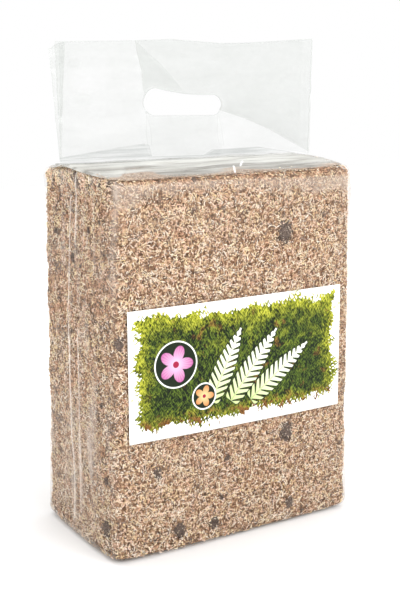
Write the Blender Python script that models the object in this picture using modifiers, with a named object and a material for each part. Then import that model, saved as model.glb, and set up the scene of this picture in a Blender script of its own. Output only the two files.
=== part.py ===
"""A bale of dried sphagnum moss in a clear carrier bag.

The moss is pressed into an upright block. A bag of clear film is drawn tight round it. Above the
block the front and back of the bag run together in a flat header, and a hand hole in the header
carries the bale. A paper label lies on the front.

Metres, +Z up. The origin is on the floor under the middle of the block, and the label faces -Y.
"""

import math

import bmesh
import bpy
import numpy as np
from mathutils import Vector

COLLECTION_NAME = "bagged_moss_bale"

DOWN = Vector((0, 0, -1))
FRONT = Vector((0, -1, 0))

# The bale as it stands, bag included
BALE_WIDTH = 0.2867
BALE_DEPTH = 0.1631
BALE_HEIGHT = 0.3800

# Film, thicker than the real one so that it stays a solid
FILM = 0.0004
GAP = 0.00035

# The pressed block inside the film
BLOCK_WIDTH = BALE_WIDTH - 2 * (FILM + GAP)
BLOCK_DEPTH = BALE_DEPTH - 2 * (FILM + GAP)
BLOCK_HEIGHT = BALE_HEIGHT - 2 * (FILM + GAP)
BLOCK_FOOT = FILM + GAP
EDGE_RADIUS = 0.009
EDGE_SEGMENTS = 3

# How the press and its own weight shape the bale
TAPER = 0.026
FACE_BULGE = 0.0028
SIDE_BULGE = 0.0014
CORNER_LIFT = 0.0042
LIFT_STARTS = 0.9
LIFT_FADE = 6
CROWN = 0.0070
CROWN_FADE = 8

# Tufts of moss on the block's surface
TUFT_SEED = 41
TUFT_COUNT = 1500
TUFT_LENGTH = (0.012, 0.030)
TUFT_BREADTH = (0.005, 0.010)
TUFT_LEAST_HEIGHT = 0.35
RELIEF_DEPTH = 0.0024
FLOOR_RELIEF = 0.25
FACES_DOWN = -0.5
BLOCK_SLICE = 0.0104
FILM_SLICE = 0.0280

# The bag's side folds
FOLD_PLACE = 0.013
FOLD_REACH = 0.0045
FOLD_HEIGHT = 0.0013
FOLD_FADE = 0.25

# The bag's roof, from the block's top edge to the mouth: share of the way in, and share of the rise
ROOF_STEPS = ((0.50, 0.46), (0.90, 0.80), (1.0, 1.0))
MOUTH_HEIGHT = 0.3925
MOUTH_LENGTH = 0.2830
MOUTH_HALF_GAP = 0.0009

# Flat header over the mouth
HEADER_LEFT_BASE = -0.1568
HEADER_LEFT_TOP = -0.1625
HEADER_RIGHT_BASE = 0.1435
HEADER_RIGHT_TOP = 0.1430
HEADER_TOP_LEFT = 0.5077
HEADER_TOP_RIGHT = 0.5120
HEADER_SAG = 0.0025
HEADER_THICKNESS = 0.0012
HEADER_WAVE = 0.0030
HEADER_HALF_WAVES = 1.5
HEADER_CELLS = (20, 6)

# Hand hole in the header
HOLE_CENTRE_X = -0.0174
HOLE_CENTRE_Z = 0.4468
HOLE_LENGTH = 0.0910
HOLE_HEIGHT = 0.0262
HOLE_ARC_POINTS = 9
CUTTER_REACH = 0.0300

# Paper label on the front
LABEL_LEFT = -0.1284
LABEL_RIGHT = 0.1257
LABEL_BOTTOM = 0.1244
LABEL_TOP = 0.2569
LABEL_THICKNESS = 0.0003
LABEL_CELLS = (10, 6)

# Colour, roughness and see-through share of each material
MOSS_LOOK = ((0.52, 0.38, 0.24, 1.0), 0.90)
FILM_LOOK = ((0.90, 0.92, 0.92, 0.25), 0.12)
LABEL_LOOK = ((0.88, 0.89, 0.86, 1.0), 0.35)


def clear_scene():
    """Remove whatever the file opened with."""
    for thing in list(bpy.data.objects):
        bpy.data.objects.remove(thing, do_unlink=True)


def new_collection(name):
    collection = bpy.data.collections.new(name)
    bpy.context.scene.collection.children.link(collection)
    return collection


def new_material(name, colour, roughness):
    material = bpy.data.materials.new(name)
    material.use_nodes = True
    shader = material.node_tree.nodes["Principled BSDF"]
    shader.inputs["Base Color"].default_value = colour
    shader.inputs["Alpha"].default_value = colour[3]
    shader.inputs["Roughness"].default_value = roughness
    shader.inputs["Metallic"].default_value = 0.0
    return material


def new_object(name, shape, collection, material=None):
    """An object made from a bmesh, which is used up."""
    mesh = bpy.data.meshes.new(name)
    shape.to_mesh(mesh)
    shape.free()
    thing = bpy.data.objects.new(name, mesh)
    collection.objects.link(thing)
    if material is not None:
        mesh.materials.append(material)
    return thing


def positions(shape):
    """The vertices of a bmesh as an array of rows x, y, z."""
    return np.array([vertex.co[:] for vertex in shape.verts])


def move_to(shape, points):
    for vertex, point in zip(shape.verts, points):
        vertex.co = point


def face_outward(shape, outward):
    """Turn an open surface round, if need be, so that its furthest face in a direction looks that way."""
    bmesh.ops.recalc_face_normals(shape, faces=shape.faces[:])
    furthest = max(shape.faces, key=lambda face: face.calc_center_median().dot(outward))
    if furthest.normal.dot(outward) < 0:
        bmesh.ops.reverse_faces(shape, faces=shape.faces[:])


def pressed(points):
    """Straight-sided points moved to the shape that the press and the weight give them.

    The bale is a little broader at its base, its faces bulge, its lower corners stand off the floor, and
    its top is domed from front to back.
    """
    x, y, z = points.T
    across = np.minimum((2 * x / BALE_WIDTH) ** 2, 1)
    deep = np.minimum((2 * y / BALE_DEPTH) ** 2, 1)
    height = np.clip(z / BALE_HEIGHT, 0, 1)
    belly = 4 * height * (1 - height)
    spread = 1 + TAPER * (0.5 - height)
    out_x = spread + 2 * SIDE_BULGE / BALE_WIDTH * (1 - deep) * belly
    out_y = spread + 2 * FACE_BULGE / BALE_DEPTH * (1 - across) * belly
    corner = np.clip((across + deep - LIFT_STARTS) / (2 - LIFT_STARTS), 0, 1)
    lift = CORNER_LIFT * corner**2 * (1 - height) ** LIFT_FADE
    dome = CROWN * (1 - deep) * height**CROWN_FADE
    return np.column_stack([x * out_x, y * out_y, z + lift + dome])


def cut_positions(extent, spacing, extra=()):
    """Evenly spaced cuts across an extent centred on 0, with any extra ones."""
    count = max(round(extent / spacing), 1)
    even = [extent * (i / count - 0.5) for i in range(1, count)]
    return [c for c in even if all(abs(c - e) > spacing / 3 for e in extra)] + list(extra)


def sliced_box(width, depth, height, foot, radius, spacing, extra_y=()):
    """A box with rounded edges, sliced across each axis so that its faces can be shaped."""
    shape = bmesh.new()
    bmesh.ops.create_cube(shape, size=1.0)
    bmesh.ops.scale(shape, vec=(width, depth, height), verts=shape.verts)
    bmesh.ops.bevel(
        shape, geom=shape.edges[:], offset=radius, segments=EDGE_SEGMENTS, profile=0.5, affect="EDGES"
    )
    flat = [size - 2 * radius for size in (width, depth, height)]
    cuts = (
        cut_positions(flat[0], spacing),
        cut_positions(flat[1], spacing, extra_y),
        cut_positions(flat[2], spacing),
    )
    for axis, places in enumerate(cuts):
        normal = [0.0, 0.0, 0.0]
        normal[axis] = 1.0
        for place in places:
            bmesh.ops.bisect_plane(
                shape,
                geom=shape.verts[:] + shape.edges[:] + shape.faces[:],
                plane_co=[place * n for n in normal],
                plane_no=normal,
            )
    bmesh.ops.translate(shape, vec=(0, 0, foot + height / 2), verts=shape.verts)
    return shape


def tuft_relief(points):
    """Height from 0 to 1 of the pressed tufts at each point: the highest of many seeded, low mounds."""
    draw = np.random.default_rng(TUFT_SEED)
    centre = points[draw.integers(len(points), size=TUFT_COUNT)]
    centre = centre + draw.normal(0, BLOCK_SLICE / 2, (TUFT_COUNT, 3))
    along = draw.normal(size=(TUFT_COUNT, 3))
    along /= np.linalg.norm(along, axis=1)[:, None]
    length = draw.uniform(*TUFT_LENGTH, TUFT_COUNT)
    breadth = draw.uniform(*TUFT_BREADTH, TUFT_COUNT)
    height = draw.uniform(TUFT_LEAST_HEIGHT, 1, TUFT_COUNT)
    relief = np.zeros(len(points))
    for i in range(TUFT_COUNT):
        away = points - centre[i]
        run = away @ along[i]
        side = (away**2).sum(axis=1) - run**2
        mound = height[i] * (1 - (run / length[i]) ** 2 - side / breadth[i] ** 2)
        np.maximum(relief, mound, out=relief)
    return relief


def build_block(collection, material):
    """The moss, its surface raised in tufts that lie flat under the film."""
    shape = sliced_box(
        BLOCK_WIDTH, BLOCK_DEPTH, BLOCK_HEIGHT, BLOCK_FOOT, EDGE_RADIUS, BLOCK_SLICE
    )
    shape.normal_update()
    points = positions(shape)
    normals = np.array([vertex.normal[:] for vertex in shape.verts])
    dip = RELIEF_DEPTH * (1 - tuft_relief(points))
    dip = dip * np.where(normals[:, 2] < FACES_DOWN, FLOOR_RELIEF, 1)
    move_to(shape, pressed(points - normals * dip[:, None]))
    bmesh.ops.triangulate(shape, faces=shape.faces[:])
    return new_object("moss_block", shape, collection, material)


def roof_point(x, y, z, inward, rise, half_width):
    """Where a point of the block's top edge ring goes on its way to the mouth."""
    mouth_x = x / half_width * MOUTH_LENGTH / 2
    mouth_y = math.copysign(MOUTH_HALF_GAP, y)
    return (
        x + (mouth_x - x) * inward,
        y + (mouth_y - y) * inward,
        z + (MOUTH_HEIGHT - z) * rise,
    )


def build_bag(collection, material):
    """Film round the block, with its side folds and a roof that runs in to an open mouth."""
    radius = EDGE_RADIUS + GAP
    width, depth = BLOCK_WIDTH + 2 * GAP, BLOCK_DEPTH + 2 * GAP
    height = BLOCK_HEIGHT + 2 * GAP
    folds = (FOLD_PLACE - FOLD_REACH, FOLD_PLACE, FOLD_PLACE + FOLD_REACH)
    shape = sliced_box(width, depth, height, FILM, radius, FILM_SLICE, folds)
    top = FILM + height
    open_top = [f for f in shape.faces if all(abs(v.co.z - top) < GAP / 3 for v in f.verts)]
    bmesh.ops.delete(shape, geom=open_top, context="FACES")
    points = positions(shape)
    fold = np.clip(1 - np.abs(points[:, 1] - FOLD_PLACE) / FOLD_REACH, 0, 1)
    on_side = np.abs(np.abs(points[:, 0]) - width / 2) < GAP / 3
    upright = np.clip(4 * points[:, 2] * (top - points[:, 2]) / top**2, 0, 1) ** FOLD_FADE
    points[:, 0] += np.sign(points[:, 0]) * fold * on_side * upright * FOLD_HEIGHT
    move_to(shape, pressed(points))
    build_roof(shape)
    face_outward(shape, DOWN)
    bag = new_object("film_bag", shape, collection, material)
    skin = bag.modifiers.new("film", "SOLIDIFY")
    skin.thickness = FILM
    skin.offset = 1.0
    return bag


def build_roof(shape):
    """Rings of film from the open top edge in to the mouth, each drawn out of the last."""
    loop = [edge for edge in shape.edges if edge.is_boundary]
    starts = {vertex: vertex.co.copy() for edge in loop for vertex in edge.verts}
    half_width = max(abs(start.x) for start in starts.values())
    for inward, rise in ROOF_STEPS:
        made = bmesh.ops.extrude_edge_only(shape, edges=loop)["geom"]
        loop = [g for g in made if isinstance(g, bmesh.types.BMEdge) and g.is_boundary]
        following = {}
        for vertex in {v for edge in loop for v in edge.verts}:
            below = next(
                e.other_vert(vertex) for e in vertex.link_edges if e.other_vert(vertex) in starts
            )
            start = starts[below]
            vertex.co = roof_point(*start, inward, rise, half_width)
            following[vertex] = start
        starts = following
    bmesh.ops.remove_doubles(shape, verts=shape.verts[:], dist=GAP / 10)


def header_point(across, up):
    """A point of the header sheet, from 0 to 1 across and up."""
    left = HEADER_LEFT_BASE + (HEADER_LEFT_TOP - HEADER_LEFT_BASE) * up
    right = HEADER_RIGHT_BASE + (HEADER_RIGHT_TOP - HEADER_RIGHT_BASE) * up
    base = MOUTH_HEIGHT + FILM + GAP
    top = HEADER_TOP_LEFT + (HEADER_TOP_RIGHT - HEADER_TOP_LEFT) * across
    top -= HEADER_SAG * math.sin(math.pi * across) ** 2
    wave = HEADER_WAVE * up * math.sin(HEADER_HALF_WAVES * math.pi * across)
    return (left + (right - left) * across, wave, base + (top - base) * up)


def build_header(collection, cutters, material):
    """The flat top of the bag, where its two sheets lie together, with the hand hole cut through."""
    columns, rows = HEADER_CELLS
    shape = bmesh.new()
    bmesh.ops.create_grid(shape, x_segments=columns, y_segments=rows, size=0.5)
    for vertex in shape.verts:
        vertex.co = header_point(vertex.co.x + 0.5, vertex.co.y + 0.5)
    bmesh.ops.recalc_face_normals(shape, faces=shape.faces[:])
    header = new_object("film_header", shape, collection, material)
    skin = header.modifiers.new("film", "SOLIDIFY")
    skin.thickness = HEADER_THICKNESS
    skin.offset = 0.0
    cut = header.modifiers.new("hand hole", "BOOLEAN")
    cut.operation = "DIFFERENCE"
    cut.object = build_hole_cutter(cutters)
    return header


def build_hole_cutter(cutters):
    """A bar with round ends, longer through the header than the header is thick."""
    end = HOLE_HEIGHT / 2
    reach = HOLE_LENGTH / 2 - end
    shape = bmesh.new()
    rim = []
    for side in (1, -1):
        for i in range(HOLE_ARC_POINTS):
            turn = math.pi * (i / (HOLE_ARC_POINTS - 1) - 0.5)
            x = HOLE_CENTRE_X + side * (reach + end * math.cos(turn))
            z = HOLE_CENTRE_Z + side * end * math.sin(turn)
            rim.append(shape.verts.new((x, -CUTTER_REACH, z)))
    face = shape.faces.new(rim)
    raised = bmesh.ops.extrude_face_region(shape, geom=[face])["geom"]
    moved = [g for g in raised if isinstance(g, bmesh.types.BMVert)]
    bmesh.ops.translate(shape, vec=(0, 2 * CUTTER_REACH, 0), verts=moved)
    bmesh.ops.recalc_face_normals(shape, faces=shape.faces[:])
    cutter = new_object("hand_hole_cutter", shape, cutters)
    cutter.hide_render = True
    cutter.display_type = "WIRE"
    return cutter


def build_label(collection, material):
    """A sheet of paper that follows the bulge of the front."""
    columns, rows = LABEL_CELLS
    shape = bmesh.new()
    bmesh.ops.create_grid(shape, x_segments=columns, y_segments=rows, size=0.5)
    front = -(BALE_DEPTH / 2 + GAP)
    for vertex in shape.verts:
        x = LABEL_LEFT + (LABEL_RIGHT - LABEL_LEFT) * (vertex.co.x + 0.5)
        z = LABEL_BOTTOM + (LABEL_TOP - LABEL_BOTTOM) * (vertex.co.y + 0.5)
        vertex.co = (x, front, z)
    move_to(shape, pressed(positions(shape)))
    face_outward(shape, FRONT)
    label = new_object("label", shape, collection, material)
    sheet = label.modifiers.new("paper", "SOLIDIFY")
    sheet.thickness = LABEL_THICKNESS
    sheet.offset = 1.0
    return label


def main():
    clear_scene()
    parts = new_collection(COLLECTION_NAME)
    cutters = new_collection("cutters")
    film = new_material("clear_film", *FILM_LOOK)
    bale = bpy.data.objects.new("bale", None)
    parts.objects.link(bale)
    pieces = (
        build_block(parts, new_material("dried_moss", *MOSS_LOOK)),
        build_bag(parts, film),
        build_header(parts, cutters, film),
        build_label(parts, new_material("printed_paper", *LABEL_LOOK)),
    )
    for piece in pieces:
        piece.parent = bale
        print(piece.name, "size", [round(side, 4) for side in piece.dimensions])


main()
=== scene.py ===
# %% [markdown]
# # A bagged bale of dried sphagnum moss
#
# The bale is a block of dried moss, pressed upright and drawn tight into a bag of clear film. Four things
# make it look real: tens of thousands of strands with dark gaps between them, film that shows only where it
# creases, hazes or shines, a flat see-through header with a hand hole, and a paper label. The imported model
# is the frame. This lesson adds the surface that the eye sees.

# %% Load the frame
import math

import bpy
import numpy as np
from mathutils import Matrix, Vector


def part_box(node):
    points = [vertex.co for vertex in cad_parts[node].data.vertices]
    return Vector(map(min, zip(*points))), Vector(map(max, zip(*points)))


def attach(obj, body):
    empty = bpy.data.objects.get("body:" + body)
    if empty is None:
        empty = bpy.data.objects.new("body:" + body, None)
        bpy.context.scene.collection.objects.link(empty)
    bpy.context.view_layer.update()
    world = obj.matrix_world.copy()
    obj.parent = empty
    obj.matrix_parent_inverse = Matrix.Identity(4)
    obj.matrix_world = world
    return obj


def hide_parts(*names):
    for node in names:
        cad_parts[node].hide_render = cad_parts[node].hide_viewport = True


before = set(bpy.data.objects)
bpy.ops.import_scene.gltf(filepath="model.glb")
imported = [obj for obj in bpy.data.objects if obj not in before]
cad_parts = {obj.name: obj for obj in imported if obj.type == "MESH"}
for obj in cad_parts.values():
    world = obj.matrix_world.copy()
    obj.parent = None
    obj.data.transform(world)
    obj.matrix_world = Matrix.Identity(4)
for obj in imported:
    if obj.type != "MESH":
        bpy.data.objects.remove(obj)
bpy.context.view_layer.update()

MM = 0.001
print("frame nodes:", sorted(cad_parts))

# %% [markdown]
# ## The shape that the press left
#
# Every layer of the bale follows the same form: a box with rounded edges, a little broader at its base, its
# faces bulged, its lower corners off the floor and its top domed. It is easiest to work on the straight box
# and bend the result at the end. `pressed` bends points of the box to the bale, as the model's own source
# does, and `unpressed` takes points of the bale back to the box.

# %% The straight box and the pressed bale
BALE = np.array([0.2867, 0.1631, 0.3800])
SKIN = 0.00075
BLOCK = BALE - 2 * SKIN
MIDDLE = np.array([0, 0, BALE[2] / 2])
EDGE = 0.009
TAPER = 0.026
FACE_BULGE, SIDE_BULGE = 0.0028, 0.0014
CORNER_LIFT, LIFT_STARTS, LIFT_FADE = 0.0042, 0.9, 6
CROWN, CROWN_FADE = 0.0070, 8


def smooth(value, low, high):
    """0 below low, 1 above high, and an S-shaped ramp between them."""
    share = np.clip((value - low) / (high - low), 0, 1)
    return share * share * (3 - 2 * share)


def pressed(points):
    """Points of the straight box, bent to the bale.

    x and y are stretched by a taper that falls with height and by a parabola of the bulge; z gains a lift at
    the lower corners and a dome along the top.
    """
    x, y, z = points[..., 0], points[..., 1], points[..., 2]
    across = np.minimum((2 * x / BALE[0]) ** 2, 1)
    deep = np.minimum((2 * y / BALE[1]) ** 2, 1)
    height = np.clip(z / BALE[2], 0, 1)
    belly = 4 * height * (1 - height)
    spread = 1 + TAPER * (0.5 - height)
    out_x = spread + 2 * SIDE_BULGE / BALE[0] * (1 - deep) * belly
    out_y = spread + 2 * FACE_BULGE / BALE[1] * (1 - across) * belly
    corner = np.clip((across + deep - LIFT_STARTS) / (2 - LIFT_STARTS), 0, 1)
    lift = CORNER_LIFT * corner**2 * (1 - height) ** LIFT_FADE
    dome = CROWN * (1 - deep) * height**CROWN_FADE
    return np.stack([x * out_x, y * out_y, z + lift + dome], axis=-1)


FOOT_HEIGHT = 0.035
FOOT_LEFT, FOOT_RIGHT, FOOT_FRONT = 0.0040, 0.0025, 0.0030
SHOULDER, SHOULDER_ENDS = (0.362, 0.386), (0.40, 0.49)
SHOULDER_LEFT, SHOULDER_RIGHT, SHOULDER_UP = 0.0034, 0.00102, 0.0024


def settled(points):
    """The bale's foot, spread over the floor by the weight above it, and its shoulders, filled up square.

    Near the floor the sides move out, most at the left and less at the corners, and so does the left half of
    the front. Near the top the two ends move out, most at the left, and up.
    """
    x, y, z = points[..., 0], points[..., 1], points[..., 2]
    shoulder = smooth(z, *SHOULDER)
    z = z + SHOULDER_UP * shoulder * smooth(np.abs(x) / BALE[0], *SHOULDER_ENDS)
    x = x + 2 * x / BALE[0] * np.where(x < 0, SHOULDER_LEFT, SHOULDER_RIGHT) * shoulder
    foot = np.clip(1 - z / FOOT_HEIGHT, 0, 1) ** 2
    deep = np.clip(2 * y / BALE[1], -1, 1)
    sideways = np.where(x < 0, FOOT_LEFT, FOOT_RIGHT) * (1 - 0.6 * deep**4)
    forward = FOOT_FRONT * np.clip(-deep, 0, 1) * (1 - smooth(x, -0.06, 0.05)) * smooth(x, -0.14, -0.10)
    return np.stack([x + 2 * x / BALE[0] * sideways * foot, y - forward * foot, z], axis=-1)


def unpressed(points, rounds=5):
    """Points of the bale, taken back to the straight box: what pressed() adds is removed a few times over."""
    straight = points.copy()
    for _ in range(rounds):
        straight = straight + points - pressed(straight)
    return straight


def beyond_block(straight):
    """How far points of the straight box lie beyond the block's rounded surface, and which way out is.

    Each coordinate past the box shrunk by its edge radius is kept; their length less the radius is the
    distance, and they point outwards.
    """
    away = straight - MIDDLE
    past = np.maximum(np.abs(away) - (BLOCK / 2 - EDGE), 0)
    length = np.linalg.norm(past, axis=-1)
    outward = np.sign(away) * past / np.maximum(length, MM / 100)[..., None]
    return length - EDGE, outward


def bell(value, middle, width):
    """1 at the middle and falling on both sides: exp(-d * d), where d is the distance in widths."""
    return np.exp(-((value - middle) / width) ** 2)


def waves(points, wavelength, seed, count=28):
    """A smooth random field with a spread of 1: a sum of cosine waves in seeded directions."""
    draw = np.random.default_rng(seed)
    direction = draw.normal(size=(count, 3))
    direction /= np.linalg.norm(direction, axis=1)[:, None]
    pitch = 2 * np.pi / (wavelength * draw.uniform(0.6, 1.7, count))
    turn = (direction * pitch[:, None]).T
    phase = draw.uniform(0, 2 * np.pi, count)
    return np.cos(points @ turn + phase).sum(axis=-1) * math.sqrt(2 / count)


def along_places(value, places):
    """Straight lines between places, each a pair of where and how much."""
    where, much = np.array(places).T
    return np.interp(value, where, much)


print("block in mm:", np.round(BLOCK / MM, 1))

# %% [markdown]
# ## From arrays to meshes
#
# Blender makes a mesh quickly when whole arrays are handed over. `add_piece` takes points, faces with one
# number of corners, and any values that the shader should read, and makes an object that rides on the bale.

# %% Make a piece from arrays
def put(name, data, place=(0, 0, 0), looks_at=None):
    """A new object in the scene, turned to look at a point where one is given."""
    thing = bpy.data.objects.new(name, data)
    thing.location = place
    if looks_at is not None:
        thing.rotation_euler = (Vector(looks_at) - Vector(place)).to_track_quat("-Z", "Y").to_euler()
    bpy.context.scene.collection.objects.link(thing)
    return thing


def add_piece(name, points, faces, material, values=None):
    """An object at the origin with these points and faces; each of values becomes a number on the points."""
    mesh = bpy.data.meshes.new(name)
    corners = faces.shape[1]
    mesh.vertices.add(len(points))
    mesh.vertices.foreach_set("co", points.astype(np.float32).ravel())
    mesh.loops.add(faces.size)
    mesh.loops.foreach_set("vertex_index", faces.astype(np.int32).ravel())
    mesh.polygons.add(len(faces))
    mesh.polygons.foreach_set("loop_start", np.arange(0, faces.size, corners, dtype=np.int32))
    mesh.update(calc_edges=True)
    for key, value in (values or {}).items():
        layer = mesh.attributes.new(key, "FLOAT", "POINT")
        layer.data.foreach_set("value", value.astype(np.float32))
    mesh.shade_smooth()
    mesh.materials.append(material)
    piece = put(name, mesh)
    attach(piece, "root")
    print(f"{name}: {len(points)} points, {len(faces) * (corners - 2)} triangles")
    return piece


def grid_faces(rows, columns, ring=False):
    """Four-cornered faces between the points of a grid stored row by row; a ring also joins its ends."""
    row, column = np.mgrid[0:rows - 1, 0:columns - (0 if ring else 1)]
    here = row * columns + column
    beside = row * columns + (column + 1) % columns
    return np.stack([here, beside, beside + columns, here + columns], axis=-1).reshape(-1, 4)


# %% [markdown]
# ## Shader sums written as sums
#
# A pattern is easier to read as arithmetic than as a drawing of boxes and threads. `Wire` wraps one socket of
# a material, so `1 - mask * 0.5` adds the Math nodes that work it out. Every other node comes from `node`.
# `mixed` takes colours as sums or as codes, the way they are written on the web.

# %% One class for shader maths
class Wire:
    """One output socket of a material's nodes."""

    def __init__(self, tree, socket=None):
        self.tree = tree
        self.socket = socket

    def node(self, kind, settings=None, sockets=None, output=0):
        """A new node: its settings are set first, then the values or links of its sockets."""
        made = self.tree.nodes.new("ShaderNode" + kind)
        for key, value in (settings or {}).items():
            if key == "stops":
                set_stops(made.color_ramp.elements, value)
            else:
                setattr(made, key, value)
        for key, value in (sockets or {}).items():
            if isinstance(value, Wire):
                self.tree.links.new(value.socket, made.inputs[key])
            else:
                made.inputs[key].default_value = value
        return Wire(self.tree, made.outputs[output])

    def maths(self, operation, *values):
        """A Math node fed with these values."""
        return self.node("Math", {"operation": operation}, dict(enumerate(values)))

    def size(self):
        return self.maths("ABSOLUTE", self)

    def least(self, other):
        return self.maths("MINIMUM", self, other)

    def most(self, other):
        return self.maths("MAXIMUM", self, other)

    def held(self):
        """The value held between 0 and 1."""
        return self.node("Clamp", None, {0: self})

    def between(self, low, high):
        """0 at low, 1 at high and an S-shaped ramp between them."""
        return self.node("MapRange", {"interpolation_type": "SMOOTHSTEP"}, {0: self, 1: low, 2: high})

    def past(self, soft):
        """0 below 0 and 1 above it, with a ramp as wide as soft on either side."""
        return self.between(-soft, soft)

    def mixed(self, first, second):
        """The first colour where this value is 0, and the second where it is 1."""
        first, second = (paint(colour) if isinstance(colour, str) else colour for colour in (first, second))
        return self.node("Mix", {"data_type": "RGBA"}, {0: self, 6: first, 7: second}, output=2)

    def coloured(self, *stops):
        """A colour ramp: each stop is a place from 0 to 1 and a colour."""
        return self.node("ValToRGB", {"stops": [(place, paint(code)) for place, code in stops]}, {0: self})

    def traced(self, places):
        """The height of a line drawn through places, at this value; each place is where and how high."""
        where, high = zip(*places)
        low, span = min(high), max(high) - min(high)
        run = where[-1] - where[0]
        share = self.node("MapRange", None, {0: self, 1: where[0], 2: where[-1]})
        stops = [((w - where[0]) / run, (*[(h - low) / span] * 3, 1.0)) for w, h in places]
        return self.node("ValToRGB", {"stops": stops}, {0: share}) * span + low


def add_sign(name, operation):
    """Let a Wire stand on either side of a sign such as + or *."""
    setattr(Wire, f"__{name}__", lambda self, other: self.maths(operation, self, other))
    setattr(Wire, f"__r{name}__", lambda self, other: self.maths(operation, other, self))


for sign, operation in (("add", "ADD"), ("sub", "SUBTRACT"), ("mul", "MULTIPLY"), ("truediv", "DIVIDE")):
    add_sign(sign, operation)


def set_stops(elements, stops):
    """Give a new colour ramp these places and colours."""
    while len(elements) < len(stops):
        elements.new(1.0)
    for element, (place, colour) in zip(elements, stops):
        element.position = place
        element.color = colour


def paint(code):
    """A colour written as on the web, such as f5dcb9, in the numbers that shaders use."""
    shares = [int(code[i:i + 2], 16) / 255 for i in (0, 2, 4)]
    return (*[s / 12.92 if s <= 0.04045 else ((s + 0.055) / 1.055) ** 2.4 for s in shares], 1.0)


# %% [markdown]
# All patterns read the object's own coordinates. They stay in place when the bale moves, and they need no
# unwrapping. `new_material` gives the material, its Principled shader and those coordinates, which every sum
# starts from.

# %% Start a material
def new_material(name, **constants):
    """A material, its Principled shader with constants such as Roughness set on it, and its coordinates."""
    material = bpy.data.materials.new(name)
    material.use_nodes = True
    tree = material.node_tree
    shader = tree.nodes["Principled BSDF"]
    for key, value in constants.items():
        shader.inputs[key.replace("_", " ")].default_value = value
    place = Wire(tree).node("TexCoord", output=3)
    return material, shader, place


def feed(shader, **wires):
    """Link sums to the shader's sockets."""
    for key, wire in wires.items():
        wire.tree.links.new(wire.socket, shader.inputs[key.replace("_", " ")])


def axes_of(place):
    """The x, y and z of the coordinates."""
    split = place.node("SeparateXYZ", None, {0: place}).socket.node
    return [Wire(place.tree, axis) for axis in split.outputs]


def number(place, key):
    """A number kept on the points."""
    return place.node("Attribute", {"attribute_name": key}, output=2)


def noise(place, scale, detail=2.0, rough=0.5, stretch=(1, 1, 1)):
    """Noise from 0 to 1 with this many cells a metre; stretch squeezes it along each axis."""
    moved = place.node("Mapping", None, {0: place, 3: stretch})
    return place.node("TexNoise", None, {0: moved, "Scale": scale, "Detail": detail, "Roughness": rough})


def straight_line(x, z, start, end):
    """How far x, z lies to the left of a line, walking from its start to its end, and how far along it."""
    run = Vector(end) - Vector(start)
    run.normalize()
    left = (x - start[0]) * -run[1] + (z - start[1]) * run[0]
    along = (x - start[0]) * run[0] + (z - start[1]) * run[1]
    return left, along


def hairline(x, z, start, end, width=0.0006):
    """1 along a line between two places and 0 away from it."""
    length = (Vector(end) - Vector(start)).length
    left, along = straight_line(x, z, start, end)
    on_line = (1 - left.size() / width).held()
    return on_line * along.past(0.001) * (1 - along.between(length - 0.001, length + 0.001))


def bump(height, strength, distance):
    """A normal tilted by a height, where the distance is what a height of 1 stands for in metres."""
    return height.node("Bump", None, {"Height": height, "Strength": strength, "Distance": distance})


# %% [markdown]
# ## The bed of moss
#
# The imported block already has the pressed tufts. It stays, as the ground that shows between the strands. It
# is in the shade of everything above it, so its holes are dark brown, and tan fibres are drawn over them by
# two noises stretched in different directions.

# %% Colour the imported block
def bed_material():
    """Two crossing noises from dark brown to cream, with clumps of a redder brown."""
    material, shader, place = new_material("moss_bed", Roughness=0.95, Specular_IOR_Level=0.2)
    fibres = noise(place, 420, detail=4, rough=0.65, stretch=(1, 1, 0.6))
    crossing = noise(place, 300, detail=3, rough=0.6, stretch=(0.5, 1, 1.4))
    clumps = noise(place, 60, detail=3)
    tangle = (fibres * 0.6 + crossing * 0.4).between(0.38, 0.66)
    # Painted shade: the dark browns at the low end of the ramp stand for the shade in the holes under the
    # strands.
    tone = tangle.coloured((0.0, "432c1e"), (0.35, "806048"), (0.7, "bc9a7a"), (1.0, "e9cfae"))
    colour = (clumps.between(0.45, 0.75) * 0.3).mixed(tone, "8d6146")
    feed(shader, Base_Color=colour, Normal=bump(tangle, 0.9, 0.0012))
    return material


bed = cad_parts["moss_block"]
bed.data.materials.clear()
bed.data.materials.append(bed_material())
print("bed:", len(bed.data.polygons), "triangles")

# %% [markdown]
# ## Strands
#
# Dried sphagnum breaks into curled strands and short bits. Particles or hair would do for a picture, but they
# leave nothing behind in an exported model. So each strand here is a real spindle: a spine of a few knots,
# with a three-sided ring at each inner knot and a tip at both ends. A bit has three knots and six triangles,
# a curl has four knots and twelve triangles, and a long fibre has six knots. All spines are worked out at
# once as arrays.

# %% Where strands grow
def bed_triangles():
    """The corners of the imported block's triangles."""
    mesh = bed.data
    mesh.calc_loop_triangles()
    points = np.empty(len(mesh.vertices) * 3)
    mesh.vertices.foreach_get("co", points)
    index = np.empty(len(mesh.loop_triangles) * 3, dtype=np.int64)
    mesh.loop_triangles.foreach_get("vertices", index)
    return points.reshape(-1, 3)[index.reshape(-1, 3)]


TRIANGLES = bed_triangles()
CROSS = np.cross(TRIANGLES[:, 1] - TRIANGLES[:, 0], TRIANGLES[:, 2] - TRIANGLES[:, 0])
AREA = np.linalg.norm(CROSS, axis=1) / 2
FACING = CROSS / (2 * AREA[:, None])
UNDERSIDE_SHARE, TOP_SHARE = 0.10, 0.55
FACES_DOWN, FACES_UP = -0.5, 0.7
SHOULDER_MORE, LEFT_SHOULDER = 4.0, (0.125, 0.138)


def growth():
    """The share of strands on each triangle: its area, times less below and on top and more at one shoulder.

    The left shoulder stands off the block, so it needs more strands to look full.
    """
    x, _, z = TRIANGLES.mean(axis=1).T
    up = FACING[:, 2]
    weight = AREA * np.where(up < FACES_DOWN, UNDERSIDE_SHARE, 1) * np.where(up > FACES_UP, TOP_SHARE, 1)
    weight *= 1 + SHOULDER_MORE * smooth(z, *SHOULDER) * smooth(-x, *LEFT_SHOULDER)
    return weight / weight.sum()


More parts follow.
